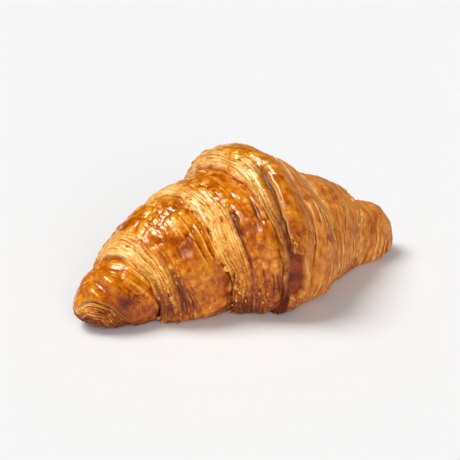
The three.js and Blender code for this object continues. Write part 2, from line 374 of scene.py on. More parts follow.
# The underside's colour: browner, and darker still as painted shade
UNDERSIDE_BROWN_AND_SHADE = (140, 70, 18)
UNDERSIDE_BROWN_AND_SHADE_STRENGTH = 0.75

# The finest detail is in the material: its noises by how many features go to a millimetre, what each adds
# to the tone, and what it does to the roughness and the bump
FINE_PER_MM = 1.1
MOTTLE_PER_MM = 0.3
FIBRES_PER_MM = 1.9
FIBRE_STRETCH = 0.17
FINE_TONE = 0.05
MOTTLE_TONES = (-0.12, 0.09)
FIBRE_TONE = 0.11
DRY_ROUGHNESS = 0.6
GLAZE_ROUGHNESS = 0.12
FINE_ROUGHNESS = 0.08
BUMP_METRES = 0.0004
FINE_BUMP = 0.5
FIBRE_BUMP = 0.8
DRY_BUMP = 0.7
GLAZE_BUMP = 0.07

FLAKE_MOTTLE_PER_MM = 0.9
FLAKE_MOTTLE_TONES = (0.3, 0.6)
FLAKE_SHADE_TONE = 0.35
FLAKE_ROUGHNESS = 0.55
FLOOR_GREY = (237, 237, 237)
FLOOR_ROUGHNESS = 0.8
FLOOR_SIZE = 8
ROOM_LIGHT = 0.2

# Lamps and windows: where each stands, its strength, and how many degrees it spreads. A lamp only lights
# the surfaces, and a window is only mirrored in the glaze.
PLAIN_WHITE = (1, 1, 1)
WARM_WHITE = (1.0, 0.92, 0.78)
LAMPS = [
    ("key_light", (-0.38, 0.30, 0.88), 2.45, 34),
    ("front_light", (-0.30, -0.90, 0.48), 1.5, 40),
]
WINDOWS = [
    ("upper_window", (-0.33, 0.43, 0.84), 2.3, 25),
    ("lower_window", (-0.42, 0.16, 0.88), 2.3, 25),
    ("near_window", (-0.39, -0.24, 0.88), 0.9, 14),
]

# The camera stands where the photograph was taken from
CAMERA_AZIMUTH = -31.7
CAMERA_ELEVATION = 23.5
CAMERA_DISTANCE = 0.531
CAMERA_LENS = 104.6
SENSOR_WIDTH = 36
CAMERA_AIM = Vector((0.0, 0.0, 0.030))
AIM_RIGHT = -0.0049
AIM_UP = -0.0046


def smoothstep(low, high, value):
    fraction = np.clip((value - low) / (high - low), 0, 1)
    return fraction * fraction * (3 - 2 * fraction)


def lerp(low, high, fraction):
    return low + (high - low) * fraction


def hump(distance, reach):
    """1 at no distance, falling smoothly to nothing at about twice the reach."""
    return np.exp(-(distance / reach) ** 2)


def line(value, place):
    """1 at the middle of a line and nothing beside it. Its place is its middle and its reach."""
    middle, reach = place
    return hump(value - middle, reach)


def span(value, limits):
    """1 between the middle two of four limits and 0 outside the outer two, with soft ends."""
    start, whole_from, whole_to, end = limits
    return smoothstep(start, whole_from, value) * (1 - smoothstep(whole_to, end, value))


# Noise

PRIMES = [np.uint32(prime) for prime in (374761393, 668265263, 2246822519, 3266489917)]
UINT_MOST = 2 ** 32 - 1


def lattice(ix, iy, iz, seed):
    """A repeatable number from 0 to 1 for each whole-number place."""
    mixed = sum(axis.astype(np.uint32) * prime for axis, prime in zip((ix, iy, iz), PRIMES))
    mixed = mixed + np.uint32(seed * int(PRIMES[3]) & UINT_MOST)
    mixed = (mixed ^ (mixed >> np.uint32(15))) * PRIMES[2]
    mixed = (mixed ^ (mixed >> np.uint32(13))) * PRIMES[3]
    mixed = mixed ^ (mixed >> np.uint32(16))
    return mixed.astype(np.float64) / UINT_MOST


def cells_of(place):
    """The whole-number cell that each place is in."""
    return [np.floor(axis).astype(np.int64) for axis in place]


def neighbour(cells, steps):
    return [cell + step for cell, step in zip(cells, steps)]


def noise(x, y, z=0.0, seed=0):
    """Smooth noise from -1 to 1 with features one unit across."""
    place = np.broadcast_arrays(x, y, z)
    cells = cells_of(place)
    inside = [axis - cell for axis, cell in zip(place, cells)]
    ease = [part * part * (3 - 2 * part) for part in inside]
    total = np.zeros(place[0].shape)
    for corner in product((0, 1), repeat=3):
        near_x, near_y, near_z = [part if step else 1 - part for part, step in zip(ease, corner)]
        total += near_x * near_y * near_z * lattice(*neighbour(cells, corner), seed)
    return total * 2 - 1


def rough_noise(x, y, z=0.0, seed=0, octaves=3):
    """Noise with finer noise on it."""
    total = 0.0
    height = 1.0
    for octave in range(octaves):
        total = total + height * noise(x, y, z, seed + 17 * octave)
        x, y, z = x * 2.03, y * 2.03, z * 2.03
        height *= 0.5
    return total


def blisters(points, cell, height, share, seed):
    """The height of round domes scattered one to a cell, with no dome in some cells."""
    x, y, z = np.moveaxis(points / cell, -1, 0)
    cells = cells_of((x, y, z))
    best = np.zeros(x.shape)
    for steps in product((-1, 0, 1), repeat=3):
        place = neighbour(cells, steps)
        jitter = [lattice(*place, seed + number) for number in range(4)]
        away = (x - place[0] - jitter[0]) ** 2
        away += (y - place[1] - jitter[1]) ** 2 + (z - place[2] - jitter[2]) ** 2
        reach = lerp(*BLISTER_REACH, lattice(*place, seed + 9))
        dome = np.clip(1 - away / reach ** 2, 0, 1) ** BLISTER_ROUNDNESS
        best = np.maximum(best, np.where(jitter[3] < share, dome * reach, 0))
    return height * best


def grain(roll, across, along, seed, octaves=1):
    """Noise drawn out along the cut edge, with the size of its features across the dough and along it."""
    return rough_noise(roll.depth / across, roll.run / along, roll.wrap * 11.0, seed, octaves)


def slanted_grain(roll, across, along, seed):
    """Noise drawn out at a slant to the cut edge, as torn fibres lie across the layers."""
    slanted = roll.depth + FIBRE_SLANT * roll.run
    return rough_noise(slanted / across, roll.run / along, roll.wrap * 13.0, seed, octaves=2)


def cloud(roll, size, seed, octaves=1):
    """Noise in space, alike in every direction."""
    x, y, z = np.moveaxis(roll.points / size, -1, 0)
    return rough_noise(x, y, z, seed, octaves)


# The form of the roll

def sweep(degrees):
    """How far round the roll an angle is, from 0 at the front foot to 1 at the back foot."""
    turn = (degrees - FRONT_FOOT_DEG) % 360
    climb = BACK_FOOT_DEG - FRONT_FOOT_DEG
    return np.where(turn < climb, turn / climb, (360 - turn) / (360 - climb))


def boundaries(degrees):
    """Where the near end, the six cut edges and the far end run at each angle, one row each."""
    angle = np.radians(degrees)
    number = np.arange(1, len(EDGE_X) + 1)[:, None]
    edges = EDGE_X[:, None] + EDGE_SLANTS[:, None] * (sweep(degrees) - EDGE_PIVOT)
    for height, count, shift in EDGE_WAVES:
        edges = edges + height * np.sin(count * angle + number * shift)
    level = np.zeros((1, degrees.size))
    return np.vstack([level + NEAR_END_X, edges, level + FAR_END_X])


def swell_share(wrap, fraction):
    """The share of a wrap's swell at a fraction of its width: steep at its cut edge, then gently down."""
    on_far_side = WRAP_SIDES[wrap] > 0
    from_lip = np.where(on_far_side, 1 - fraction, fraction)
    lean = np.where(on_far_side, FAR_LIP_LEAN, NEAR_LIP_LEAN)
    share = 1 - np.abs(2 * from_lip ** lean - 1) ** SWELL_POWER
    share = np.where(wrap == NEAR_TIP, 1 - fraction ** TIP_SWELL_POWER, share)
    return np.where(wrap == FAR_TIP, 1 - (1 - fraction) ** TIP_SWELL_POWER, share)


def dome(x):
    """The rounding of the two ends: 0 at the very end, 1 where the dome meets the roll."""
    near = np.clip((x - NEAR_END_X) / NEAR_DOME, 0, 1)
    far = np.clip((FAR_END_X - x) / FAR_DOME, 0, 1)
    return np.sqrt((1 - (1 - near) ** DOME_POWER) * (1 - (1 - far) ** DOME_POWER))


def row_fractions(wrap):
    """The fractions of a wrap's rows: crowded at an end's dome or in the band behind a cut edge."""
    count = WRAP_ROWS[wrap]
    even = np.arange(count) / count
    if WRAP_SIDES[wrap] == 0:
        fractions = ((np.arange(count) + 1) / (count + 1)) ** ROW_CROWDING
    else:
        fractions = even * lerp(1, even ** ROW_CROWDING, BAND_CROWDING)
    if WRAP_SIDES[wrap] > 0 or wrap == FAR_TIP:
        fractions = (1 - fractions)[::-1]
    return fractions


def column_angles():
    base = lerp(-BASE_HALF_ANGLE, BASE_HALF_ANGLE, np.arange(BASE_COLUMNS) / BASE_COLUMNS)
    sides = lerp(BASE_HALF_ANGLE, 360 - BASE_HALF_ANGLE, np.arange(SIDE_COLUMNS) / SIDE_COLUMNS)
    return np.concatenate([base, sides]) % 360


def roll_form():
    """The plain roll: the place of every point before its relief, and where it is on the dough."""
    wrap = np.repeat(WRAPS, WRAP_ROWS)[:, None]
    fraction = np.concatenate([row_fractions(number) for number in WRAPS])[:, None]
    degrees = column_angles()[None, :]
    angle = np.radians(degrees)
    edges = boundaries(degrees[0])
    x = lerp(edges[wrap[:, 0]], edges[wrap[:, 0] + 1], fraction)
    share = swell_share(wrap, fraction)
    half_width = lerp(CREASE_HALF_WIDTHS[wrap], CREASE_HALF_WIDTHS[wrap + 1], fraction)
    full_height = lerp(CREASE_HEIGHTS[wrap], CREASE_HEIGHTS[wrap + 1], fraction)
    rounding = dome(x)
    half_width = (half_width + SWELL_WIDTHS[wrap] * share) * rounding
    full_height = full_height + SWELL_HEIGHTS[wrap] * share
    height = full_height * rounding
    centre = height * WIDEST_AT
    out = -np.sin(angle)
    up = -np.cos(angle)
    power = np.where(up > 0, TOP_POWER, UNDER_POWER)
    reach = np.where(up > 0, height - centre, centre * UNDER_BULGE)
    radius = (np.abs(out / half_width) ** power + np.abs(up / reach) ** power) ** (-1 / power)
    y = out * radius + BOW * (x / FAR_END_X) ** 2
    z = np.maximum(centre + up * radius, 0) + full_height * (1 - rounding) * TIP_CENTRE
    points = np.stack([x, y, z], axis=-1)
    return SimpleNamespace(wrap=wrap, fraction=fraction, degrees=degrees, points=points, x=x,
                           radius=radius, rounding=rounding)


def unit(directions):
    lengths = np.linalg.norm(directions, axis=-1, keepdims=True)
    return directions / np.maximum(lengths, 1e-9)


def surface_directions(points):
    """Unit directions along the roll, round it, and out of it."""
    along = np.gradient(points, axis=0)
    around = np.roll(points, -1, axis=1) - np.roll(points, 1, axis=1)
    normals = np.cross(around, along)
    outward = points - points.mean(axis=1, keepdims=True)
    normals *= np.sign((normals * outward).sum(axis=-1).mean())
    return unit(along), unit(around), unit(normals)


def cut_end_depth(roll):
    """How far inside the slanting edge of the near tip's skin each point is, in the cut end's layers."""
    below = CUT_END_DEG - CUT_END_DEG_PER_MM * (roll.x - NEAR_END_X) - roll.degrees
    return np.radians(below) * np.maximum(roll.radius, 4)


def measure_surface(roll):
    """Adds the millimetres from each edge and round the roll, and the surface's own directions."""
    steps = np.linalg.norm(np.diff(roll.points, axis=0), axis=-1)
    along = np.vstack([np.zeros((1, steps.shape[1])), np.cumsum(steps, axis=0)])
    ends = np.minimum(FIRST_ROWS[1:], along.shape[0] - 1)
    wrap = roll.wrap[:, 0]
    roll.from_near = along - along[FIRST_ROWS[:-1]][wrap]
    roll.to_far = along[ends][wrap] - along
    roll.wide = roll.from_near + roll.to_far
    around = np.linalg.norm(np.diff(roll.points, axis=1, append=roll.points[:, :1]), axis=-1)
    run = np.cumsum(around, axis=1)
    top = np.argmin(np.abs(roll.degrees[0] - 180))
    roll.run = run - run[:, top:top + 1]
    roll.from_base = np.minimum(roll.degrees, 360 - roll.degrees)
    roll.on_tip = roll.wrap == NEAR_TIP
    roll.has_lip = WRAP_SIDES[roll.wrap] != 0
    on_far_side = WRAP_SIDES[roll.wrap] > 0
    roll.towards_lip = np.where(on_far_side, 1, -1)
    roll.from_lip = np.where(on_far_side, roll.to_far, roll.from_near)
    roll.to_cover = np.where(on_far_side | (roll.wrap == FAR_TIP), roll.from_near, roll.to_far)
    roll.depth = np.where(roll.on_tip, cut_end_depth(roll), roll.from_lip)
    roll.forward, roll.sideways, roll.normals = surface_directions(roll.points)


# Relief. Some of these functions also mark on the roll what they make, for the colours.

def matte_mask(roll):
    """1 on the far wraps, which took no glaze, and 0 on the near ones, with a ragged change between."""
    unglazed = smoothstep(0.3, 0.8, roll.fraction + 0.1 * cloud(roll, size=8, seed=72))
    return np.where(roll.wrap < MIDDLE, 0, np.where(roll.wrap == MIDDLE, unglazed, 1))


def band_mask(roll):
    """1 on the laminated edge, 0 on the skin, with a ragged border between them."""
    wide = BAND_MM[roll.wrap] * lerp(BAND_FOOT_SHARE, 1, smoothstep(75, 125, roll.from_base))
    ragged = roll.depth + BAND_RAGGED_MM * grain(roll, across=8, along=9, seed=3, octaves=4)
    band = 1 - smoothstep(wide + BAND_FADE_MM[0], wide + BAND_FADE_MM[1], ragged)
    skin_over = np.where(roll.on_tip, 1 - smoothstep(0, 0.8, roll.depth), np.clip(roll.smooth, 0, 1))
    return band * (1 - skin_over) * (1 - roll.hollow) * (roll.wrap != FAR_TIP)


def layer_places(roll):
    """Which of the dough's layers each point is in, and how far across that layer it is, from 0 to 1."""
    wander = LAYER_WANDER * grain(roll, across=14, along=34, seed=21)
    wander += LAYER_JITTER * grain(roll, across=4, along=8, seed=22)
    wander += LAYER_CRUMBLE * cloud(roll, size=2.2, seed=29)
    wander += CUT_END_WANDER * cloud(roll, size=4, seed=30) * roll.on_tip
    place = (roll.depth + wander) / LAYER_PITCH
    layer = np.floor(place)
    return layer, place - layer


def layer_relief(roll):
    """The stacked edges of the dough's layers: long thin terraces along the cut edge, and deeper grooves."""
    layer, inside = layer_places(roll)
    pebbly = PEBBLY_TOP * smoothstep(115, 160, roll.from_base)
    pebbly = np.clip(pebbly + PEBBLY_UNEVENNESS * cloud(roll, size=8, seed=27), 0, 1)
    edge = smoothstep(0.0, 0.3, inside) - inside ** TERRACE_FALL
    proud = PROUD_MEAN + noise(layer * 3.7, roll.run / 6, roll.wrap * 11.0, seed=23)
    proud = np.clip(proud, 0, PROUD_MOST) * (1 - PEBBLY_TERRACE_LOSS * pebbly)
    deep = (1 - smoothstep(0.05, 0.45, inside)) * (1 - PEBBLY_GROOVE_LOSS * pebbly)
    deep *= smoothstep(0.05, 0.45, noise(layer * 5.3, roll.run / 15, roll.wrap * 7.0, seed=28))
    shallow = (1 - smoothstep(0.0, 0.22, inside)) * np.clip(proud, 0, 1)
    # The grooves are also marked for the painted shade that darkens them in the colours
    roll.groove = np.maximum(SHALLOW_GROOVE * shallow, DEEP_GROOVE * deep)
    relief = TERRACE_HEIGHT * edge * proud - GROOVE_DEPTH * deep
    relief += FIBRE_HEIGHT * grain(roll, across=0.6, along=6, seed=24)
    relief += SLANTED_FIBRE_HEIGHT * slanted_grain(roll, across=0.7, along=4, seed=26)
    relief += lerp(*PEBBLE_HEIGHTS, pebbly) * grain(roll, across=1.8, along=4, seed=25, octaves=2)
    pressed = lerp(PRESSED_SHARE, 1, smoothstep(60, 115, roll.from_base))
    return relief * np.where(roll.on_tip, CUT_END_COARSENESS, pressed)


def skin_relief(roll):
    """Blisters of three sizes, and wrinkles that run with the cut edge."""
    smooth = np.clip(roll.smooth + roll.hollow, -1, 1)
    patches = smoothstep(-0.4, 0.25, cloud(roll, size=12, seed=31)) * (1 - smooth)
    clusters = smoothstep(-0.3, 0.3, cloud(roll, size=6, seed=32)) * (1 - smooth)
    relief = blisters(roll.points, *LARGE_BLISTERS) * (1 - SMOOTH_BLISTER_LOSS * np.clip(smooth, 0, 1))
    relief += blisters(roll.points, *MIDDLING_BLISTERS) * patches
    relief += blisters(roll.points, *SMALL_BLISTERS) * clusters
    wrinkles = grain(roll, across=3.2, along=14, seed=33, octaves=3) * (1 - SMOOTH_WRINKLE_LOSS * smooth)
    return relief * (1 - DRY_LOSS * roll.matte) + WRINKLE_HEIGHT * wrinkles


def crack_mask(roll):
    """1 along thin cracks in the skin that run with the cut edge, mostly low on the near wraps."""
    first = 1 - np.abs(grain(roll, across=2.6, along=26, seed=51)) * CRACK_SHARPNESS[0]
    second = 1 - np.abs(grain(roll, across=1.7, along=19, seed=52)) * CRACK_SHARPNESS[1]
    crack = np.clip(np.maximum(first, second), 0, 1)
    crack *= smoothstep(-0.1, 0.35, grain(roll, across=5, along=11, seed=53))
    crack *= lerp(1.0, 0.3, smoothstep(85, 150, roll.from_base)) * ~roll.on_tip
    return crack * (1 - roll.band) * (1 - roll.hollow) * (1 - np.clip(roll.smooth, 0, 1))


def sheet_relief(roll):
    """The thin edges of skin layers on the far wraps and beside the creases, each with a pale line and a
    fainter line of painted shade at its foot.
    """
    across = np.where(roll.wrap >= FAR_INNER, roll.from_near, roll.to_far)
    wander = SHEET_WANDER * grain(roll, across=30, along=22, seed=55, octaves=3)
    place = (across + wander) / SHEET_PITCH
    inside = place - np.floor(place)
    ribbed = (1 - smoothstep(3, 11, roll.to_cover)) * smoothstep(75, 110, roll.from_base) * roll.has_lip
    broken = smoothstep(-0.15, 0.4, grain(roll, across=5, along=11, seed=56))
    broken = broken * np.maximum(roll.matte, ribbed)
    lines = (line(inside, PALE_LINE) - SHADE_LINE_SHARE * line(inside, SHADE_LINE)) * broken
    far_edge = FAR_EDGE_PALENESS * line(roll.to_far, FAR_EDGE_MM) * (roll.wrap == MIDDLE)
    roll.sheet_line = (lines + far_edge) * (1 - roll.band) * (1 - roll.hollow)
    step = (smoothstep(0, 0.12, inside) - inside) * broken
    return SHEET_STEP * step * (1 - roll.hollow)


def crust_texture(roll):
    """The fine relief: the layers of the laminated edge, or the skin with its sheet edges and cracks."""
    skin = skin_relief(roll) + sheet_relief(roll)
    return lerp(skin, layer_relief(roll), roll.band) - CRACK_DEPTH * roll.crack


def lump_relief(roll):
    """Long soft lumps of the proofed dough."""
    angle = np.radians(roll.degrees)
    height, drift, bend, shift = LONG_LUMP
    relief = height * np.sin(roll.x / drift + bend * np.sin(angle) + shift)
    for height, count, drift, shift in ROUND_LUMPS:
        relief += height * np.sin(count * angle + roll.x / drift + shift)
    return relief


def lip_relief(roll):
    """A groove in the crease on both sides of a cut edge, and the cut edge's own rounded lip."""
    uneven = CREASE_MEAN + CREASE_UNEVENNESS * noise(roll.run / 9, roll.wrap * 4.0, seed=35)
    groove = hump(roll.from_lip, CREASE_MM) * roll.has_lip
    covered = hump(roll.to_cover, COVERED_SHARE * CREASE_MM) * (roll.wrap != MIDDLE)
    far_lip = hump(roll.to_far, CREASE_MM) * (roll.wrap == MIDDLE)
    lip = LIP_HEIGHT * hump(roll.from_lip - LIP_AT_MM, LIP_MM) * roll.has_lip
    return lip - CREASE_DEPTH * uneven * (groove + covered + FAR_LIP_SHARE * far_lip)


def overhang(roll):
    """How far the lip leans out over its neighbour, unevenly, as dry layers curl."""
    curl = CURL_MEAN + CURL_UNEVENNESS * rough_noise(roll.run / 5, roll.wrap * 7.0, seed=47)
    curl = np.clip(curl, 0, CURL_MOST)
    lean = OVERHANG * curl * hump(roll.from_lip - OVERHANG_MM, OVERHANG_MM) * roll.has_lip
    return (lean * roll.towards_lip * smoothstep(30, 60, roll.from_base))[..., None] * roll.forward


def past_tear(roll):
    """How many millimetres beyond the torn crease each point is, towards the far end."""
    turn = np.clip((roll.degrees - TEAR_DEG[0]) / (TEAR_DEG[1] - TEAR_DEG[0]), 0, 1)
    crease = lerp(*TEAR_FRACTION, turn ** TEAR_BEND) * roll.wide
    return roll.from_near - crease + TEAR_RAGGED_MM * noise(roll.run / 3, roll.from_near / 30, seed=45)


def inside_hollow(roll, past):
    """Over 0 inside the hollow's ragged oval and under 0 outside it."""
    across = past / HOLLOW_MM
    round_about = (roll.degrees - HOLLOW_DEG + HOLLOW_SLANT_DEG * across) / HOLLOW_REACH_DEG
    ragged = HOLLOW_RAGGEDNESS * rough_noise(roll.run / 4, roll.from_near / 4, seed=46)
    return 1 - np.abs(across) ** HOLLOW_POWERS[0] - np.abs(round_about) ** HOLLOW_POWERS[1] + ragged


def tear_relief(roll):
    """The torn skin of the middle wrap: a crease behind the band, a lifted flap, and a hollow below it."""
    here = (roll.wrap == MIDDLE) & (roll.degrees < 200)
    past = past_tear(roll)
    roll.tear = hump(past, TEAR_MM) * span(roll.degrees, TEAR_SPAN_DEG) * here
    on_flap = span(roll.degrees, FLAP_SPAN_DEG) * here
    behind_edge = np.exp(-np.maximum(past - FLAP_EDGE_MM[1], 0) / FLAP_MM)
    flap = smoothstep(*FLAP_EDGE_MM, past) * behind_edge * on_flap
    inside = inside_hollow(roll, past)
    beyond_tear = smoothstep(-0.2, 0.5, past) * here
    roll.hollow = smoothstep(0.0, HOLLOW_WALL, inside) * beyond_tear
    rim = RIM_PALENESS * line(inside, HOLLOW_RIM) * beyond_tear
    roll.torn_edge = np.maximum(line(past, FLAP_RIM_MM) * on_flap, rim)
    return FLAP_HEIGHT * flap - TEAR_DEPTH * roll.tear * (1 - roll.hollow) - HOLLOW_DEPTH * roll.hollow


def patch_relief(roll):
    """The folds, bubbles and browned patches, each of which also colours and smooths the skin."""
    height, roll.red, roll.brown, roll.smooth = (np.zeros(roll.x.shape) for _ in range(4))
    uneven = 1 + PATCH_UNEVENNESS * cloud(roll, size=4, seed=77)
    patches = [(wrap, *patch) for wrap in PATCHES for patch in PATCHES[wrap]]
    for wrap, at, degrees, across, round_about, stands, reddens, browns, smooths in patches:
        away = ((roll.from_near - at * roll.wide) / across) ** 2
        away += ((roll.degrees - degrees) / round_about) ** 2
        share = np.exp(-(away * uneven) ** 1.5) * (roll.wrap == wrap)
        height += stands * share
        roll.red += reddens * share
        roll.brown += browns * share
        roll.smooth += smooths * share
    roll.smooth = np.clip(roll.smooth, -1, 1)
    return height


def cut_end_relief(roll):
    """The step down from the near tip's skin to its cut end, with a pale rim and a dark line of painted
    shade inside it, below the step.
    """
    pale = CUT_RIM_PALENESS * line(roll.depth, CUT_RIM_MM) * roll.on_tip
    roll.torn_edge = np.maximum(roll.torn_edge, pale)
    # A dark line of painted shade below the step, laid on as red
    dark = CUT_SHADE_LINE_REDNESS * line(roll.depth, CUT_SHADE_LINE_MM) * roll.on_tip
    roll.red = np.maximum(roll.red, dark)
    return -CUT_END_STEP * smoothstep(0, 0.7, roll.depth) * roll.on_tip


def crust_points(roll):
    """Every point of the crust with its relief, pressed flat where it lies on the tray."""
    measure_surface(roll)
    roll.matte = matte_mask(roll)
    forms = tear_relief(roll) + patch_relief(roll) + lump_relief(roll) + lip_relief(roll)
    roll.band = band_mask(roll)
    roll.crack = crack_mask(roll)
    texture = crust_texture(roll)
    share = lerp(FOOT_RELIEF, 1, smoothstep(*FOOT_DEG, roll.from_base)) * roll.rounding
    relief = (forms + texture) * share + cut_end_relief(roll) * smoothstep(0.1, 0.7, roll.rounding)
    points = roll.points + roll.normals * relief[..., None] + overhang(roll)
    points[..., 2] = np.maximum(points[..., 2], 0)
    roll.tone = crust_tone(roll, texture)
    # The red also takes the painted shade of the creases and the tear
    roll.red = np.clip(roll.red + creases(roll), 0, 1)
    roll.gloss = crust_gloss(roll)
    # The browner underside, darkened more as painted shade, low on the sides by the base
    roll.under = 1 - smoothstep(24, 46, roll.from_base + 6 * cloud(roll, size=5, seed=71))
    return points


# Where the crust is pale, red or glossy, with painted shade in its hollows, grooves and creases

def blurred(values, reach):
    """A grid of values averaged with its neighbours along the roll and round it."""
    total = np.zeros_like(values)
    for step in range(-reach, reach + 1):
        total += np.roll(values, step, axis=1)
    rows = np.pad(total, ((reach, reach), (0, 0)), mode="edge")
    summed = sum(rows[step:step + values.shape[0]] for step in range(2 * reach + 1))
    return summed / (2 * reach + 1) ** 2


def creases(roll):
    """Painted shade, 1 in the crease at a cut edge and in the tear, fading out on both sides of it, and
    fainter in places.
    """
    own = np.exp(-roll.from_lip / OWN_RED_MM) * roll.has_lip
    covered = np.exp(-roll.to_cover / COVERED_RED_MM) * (roll.wrap != MIDDLE)
    faint = smoothstep(-0.4, 0.7, noise(roll.run / 10, roll.wrap * 9.0, seed=37))
    low = lerp(1.0, 0.35, smoothstep(90, 150, roll.from_base))
    return np.clip(np.clip(own + covered, 0, 1) * lerp(0.2, 1, faint) * low + roll.tear, 0, 1)


def crust_tone(roll, texture):
    """How pale the crust is, from 0 to 1: its ridges pale and its hollows dark, as painted light and shade,
    and clouded between.
    """
    height_share = smoothstep(50, 135, roll.from_base)
    skin = 1 - roll.band
    tone = PLAIN_TONE + CLOUD_TONE * cloud(roll, size=11, seed=91, octaves=3)
    tone += FLECK_TONE * cloud(roll, size=2.5, seed=92, octaves=2)
    # Painted shade in the hollows of the relief and painted light on its ridges
    relief_shade = np.clip(blurred(texture, 5) - texture, *CAVITY_LIMITS)
    tone += relief_shade * lerp(SKIN_CAVITY_SHADE, BAND_CAVITY_SHADE, roll.band)
    streaks = grain(roll, across=0.8, along=4.5, seed=93, octaves=2)
    streaks += BROAD_STREAKS * grain(roll, across=2.5, along=9, seed=94)
    streaks *= lerp(SKIN_STREAKS, 1, roll.band) * (1 - SMOOTH_STREAK_LOSS * np.clip(roll.smooth, 0, 1))
    tone += STREAK_TONE * streaks
    tone += lerp(*HEIGHT_TONES, height_share) * lerp(1, 0.35, roll.matte)
    tone += lerp(*BAND_TONES, height_share) * roll.band
    # Painted shade in the grooves between the layers
    tone += lerp(*GROOVE_SHADE_TONES, height_share) * roll.groove * roll.band
    tone += CUT_END_TONE * roll.band * roll.on_tip
    tone += NEAR_END_TONE * (1 - smoothstep(-70, -30, roll.x)) * skin
    tone += MATTE_TONE * roll.matte + BROWN_TONE * roll.brown
    # Painted shade in the cracks, and the sheet lines with their painted shade at the foot of each step
    return tone + CRACK_SHADE_TONE * roll.crack + SHEET_LINE_TONE * roll.sheet_line


def crust_gloss(roll):
    """How glazed the crust is: most on top of the near wraps, and least where it is dry or low."""
    gloss = (1 - MATTE_DULLS * roll.matte) * lerp(FOOT_GLOSS, 1, smoothstep(78, 135, roll.from_base))
    gloss = gloss * (1 - BAND_DULLS * roll.band) * (1 - BROWN_DULLS * roll.brown)
    return np.clip(gloss - HOLLOW_DULLS * roll.hollow, 0, 1)


# Meshes

def tube_faces(rows, columns):
    """Quads between the rings, then a fan of triangles at each end."""
    row = np.arange(rows - 1)[:, None]
    column = np.arange(columns)[None, :]
    following = (column + 1) % columns
    here = row * columns
    beyond = here + columns
    quads = np.stack([here + column, beyond + column, beyond + following, here + following], axis=-1)
    near, far = rows * columns, rows * columns + 1
    last = (rows - 1) * columns
    fans = []
    for number in range(columns):
        after = (number + 1) % columns
        fans.append((near, number, after))
        fans.append((far, last + after, last + number))
    return quads.reshape(-1, 4).tolist() + fans


def link(thing):
    bpy.context.scene.collection.objects.link(thing)
    return thing


def add_mesh(name, points, faces, material):
    mesh = bpy.data.meshes.new(name)
    mesh.from_pydata((points * MM).tolist(), [], faces)
    mesh.materials.append(material)
    mesh.validate()
    mesh.update()
    mesh.shade_smooth()
    return link(bpy.data.objects.new(name, mesh))


def add_attribute(piece, name, values):
    attribute = piece.data.attributes.new(name, "FLOAT", "POINT")
    attribute.data.foreach_set("value", np.asarray(values, np.float32))


def make_wrap(wrap, roll, points, material):
    """One wrap of dough, up to the next one's first ring, closed by a fan at each end."""
    rows = slice(FIRST_ROWS[wrap], FIRST_ROWS[wrap + 1] + 1)
    rings = points[rows]
    ends = [rings[0].mean(axis=0), rings[-1].mean(axis=0)]
    flat = np.vstack([rings.reshape(-1, 3), ends])
    piece = add_mesh("crust_" + WRAP_NAMES[wrap], flat, tube_faces(*rings.shape[:2]), material)
    for name in ("band", "tone", "red", "matte", "gloss", "under", "hollow", "torn_edge", "depth", "run"):
        values = getattr(roll, name)[rows]
        at_ends = [values[0].mean(), values[-1].mean()]
        add_attribute(piece, name, np.concatenate([values.reshape(-1), at_ends]))
    return piece


def grid_place(roll, wrap, fraction, degrees):
    """The row and column of the crust's point nearest to a fraction of a wrap and an angle."""
    fractions = roll.fraction[FIRST_ROWS[wrap]:FIRST_ROWS[wrap + 1], 0]
    row = FIRST_ROWS[wrap] + np.argmin(np.abs(fractions - fraction))
    return row, np.argmin(np.abs(roll.degrees[0] - degrees))


def flake_places(roll, draw):
    """The row, the column and the length of every loose flake."""
    places = []
    for wrap, fraction, degrees, count, spread, length in FLAKE_SPOTS:
        for _ in range(count):
            across = draw.normal(0, spread / SCATTER_DEG_PER_WRAP)
            place = grid_place(roll, wrap, fraction + across, degrees + draw.normal(0, spread))
            places.append((*place, length * draw.uniform(*FLAKE_LENGTH_SHARES)))
    for wrap in np.flatnonzero(WRAP_SIDES):
        for _ in range(LIP_FLAKES):
            fraction = draw.uniform(*LIP_FLAKE_FRACTIONS)
            if WRAP_SIDES[wrap] > 0:
                fraction = 1 - fraction
            place = grid_place(roll, wrap, fraction, draw.uniform(*LIP_FLAKE_DEG))
            places.append((*place, draw.uniform(*LIP_FLAKE_MM)))
    return places


def flake(roll, points, row, column, length, draw):
    """The upper and under side of a thin scale, sunk at its back edge and lifted towards the lip."""
    count_long, count_wide = FLAKE_POINTS
    u, v = np.meshgrid(np.linspace(-1, 1, count_long), np.linspace(0, 1, count_wide), indexing="ij")
    towards = roll.forward[row, column] * roll.towards_lip[row]
    sideways = roll.sideways[row, column]
    normal = roll.normals[row, column]
    ragged = 1 + FLAKE_RAGGEDNESS * draw.normal(size=count_long)[:, None]
    wide = length * draw.uniform(*FLAKE_WIDTH_SHARES) * ragged * np.sqrt(np.clip(1.08 - u ** 2, 0, 1))
    lift = draw.uniform(*FLAKE_LIFTS) * v ** 1.5 - FLAKE_SUNK * (1 - v) - FLAKE_CURL * u ** 2
    sheet = points[row, column] + sideways * (u * length / 2)[..., None] + towards * (v * wide)[..., None]
    thick = FLAKE_THICKNESS * np.sqrt(np.clip(1 - u ** 2, 0, 1) * np.clip(1 - (2 * v - 1) ** 2, 0, 1))
    return sheet + normal * (lift + thick)[..., None], sheet + normal * (lift - thick)[..., None]


